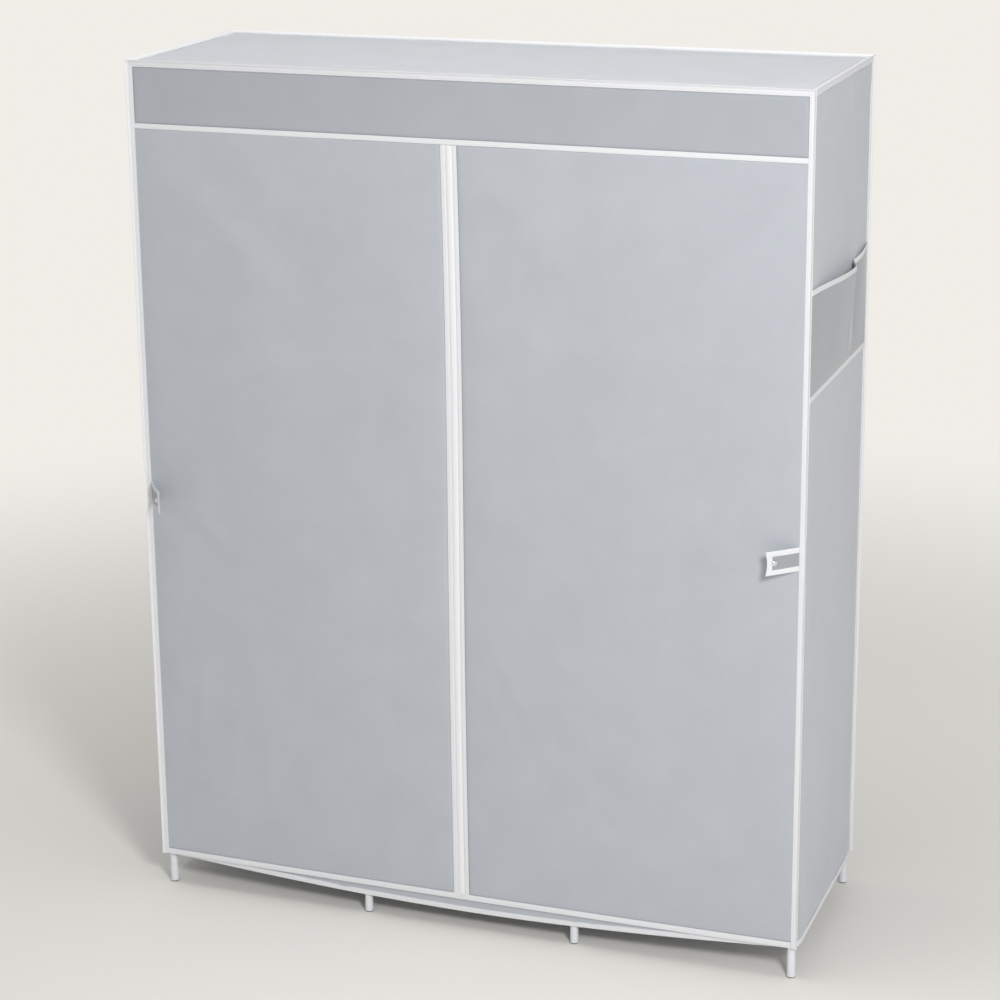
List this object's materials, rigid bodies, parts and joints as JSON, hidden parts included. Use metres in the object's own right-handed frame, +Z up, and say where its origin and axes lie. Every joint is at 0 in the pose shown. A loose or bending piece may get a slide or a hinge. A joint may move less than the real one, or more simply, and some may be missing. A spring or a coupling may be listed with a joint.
{
  "type": "portable fabric wardrobe",
  "caption": "Free-standing fabric wardrobe: a three-bay steel tube frame with hanging rods and cloth shelves under a sewn cover with two zipped doors, side pocket and tie-back tabs.",
  "frame": {"origin": "on the floor under the middle of the tube frame's width, midway in depth between the tip of the left tie-back tab and the cover's back", "axes": "+X towards the side with the pocket, +Y towards the back, +Z up"},
  "size_m": [1.3281, 0.5088, 1.674],
  "materials": {
    "frame_paint": "satin",
    "foot_plastic": "matt",
    "cover_cloth": "matt non-woven",
    "edge_tape": "matt woven",
    "zip_tape": "matt woven",
    "zip_metal": "satin",
    "snap_metal": "satin"
  },
  "bodies": {
    "frame_and_cover": {"post_front_1": "frame_paint", "foot_front_1": "foot_plastic", "post_front_2": "frame_paint", "foot_front_2": "foot_plastic", "post_front_3": "frame_paint", "foot_front_3": "foot_plastic", "post_front_4": "frame_paint", "foot_front_4": "foot_plastic", "rail_bottom_front": "frame_paint", "rail_top_front": "frame_paint", "shelf_rail_1_front": "frame_paint", "shelf_rail_2_front": "frame_paint", "post_back_1": "frame_paint", "foot_back_1": "foot_plastic", "post_back_2": "frame_paint", "foot_back_2": "foot_plastic", "post_back_3": "frame_paint", "foot_back_3": "foot_plastic", "post_back_4": "frame_paint", "foot_back_4": "foot_plastic", "rail_bottom_back": "frame_paint", "rail_top_back": "frame_paint", "shelf_rail_1_back": "frame_paint", "shelf_rail_2_back": "frame_paint", "cross_tube_bottom_1": "frame_paint", "cross_tube_bottom_2": "frame_paint", "cross_tube_bottom_3": "frame_paint", "cross_tube_bottom_4": "frame_paint", "cross_tube_top_1": "frame_paint", "cross_tube_top_2": "frame_paint", "cross_tube_top_3": "frame_paint", "cross_tube_top_4": "frame_paint", "shelf_cloth_1": "cover_cloth", "shelf_cloth_2": "cover_cloth", "base_cloth": "cover_cloth", "hanging_rod_left": "frame_paint", "hanging_rod_right": "frame_paint", "cover_top": "cover_cloth", "cover_side_left": "cover_cloth", "cover_side_right": "cover_cloth", "cover_back": "cover_cloth", "front_valance": "cover_cloth", "valance_hem": "edge_tape", "front_bottom_band": "cover_cloth", "cover_binding": "edge_tape", "side_pocket": "cover_cloth", "pocket_mouth_binding": "edge_tape", "pocket_bottom_binding": "edge_tape"},
    "door_left": {"door_left": "cover_cloth", "door_left_binding": "edge_tape", "zip_left": "zip_tape"},
    "door_right": {"door_right": "cover_cloth", "door_right_binding": "edge_tape", "zip_right": "zip_tape"},
    "zip_slider": {"zip_slider": "zip_metal"},
    "zip_pull": {"zip_pull": "zip_metal"},
    "tab_left": {"tab_left": "cover_cloth", "snap_left": "snap_metal"},
    "tab_right": {"tab_right": "cover_cloth", "snap_right": "snap_metal"}
  },
  "joints": [
    {"name": "door_left_swing", "type": "hinge", "parent": "frame_and_cover", "child": "door_left", "pos_m": [-0.6467, -0.20443, 0.8], "axis": [0, 0, -1], "range_deg": [0, 95]},
    {"name": "door_right_swing", "type": "hinge", "parent": "frame_and_cover", "child": "door_right", "pos_m": [0.6467, -0.20443, 0.8], "axis": [0, 0, 1], "range_deg": [0, 95]},
    {"name": "zip_slide", "type": "slide", "parent": "frame_and_cover", "child": "zip_slider", "axis": [0, 0, 1], "range_m": [0, 1.35]},
    {"name": "zip_pull_flip", "type": "hinge", "parent": "zip_slider", "child": "zip_pull", "pos_m": [-0.01185, -0.19908, 0.126], "axis": [1, 0, 0], "range_deg": [0, 150]},
    {"name": "tab_left_swing", "type": "hinge", "parent": "door_left", "child": "tab_left", "pos_m": [-0.6455, -0.20463, 0.833], "axis": [0, 0, -1], "range_deg": [-40, 26]},
    {"name": "tab_right_swing", "type": "hinge", "parent": "door_right", "child": "tab_right", "pos_m": [0.6455, -0.20463, 0.833], "axis": [0, 0, 1], "range_deg": [-27, 40]}
  ],
  "couplings": [
    {"joint": "zip_slide", "follows": "door_left_swing", "m_per_rad": 0.8141}
  ]
}
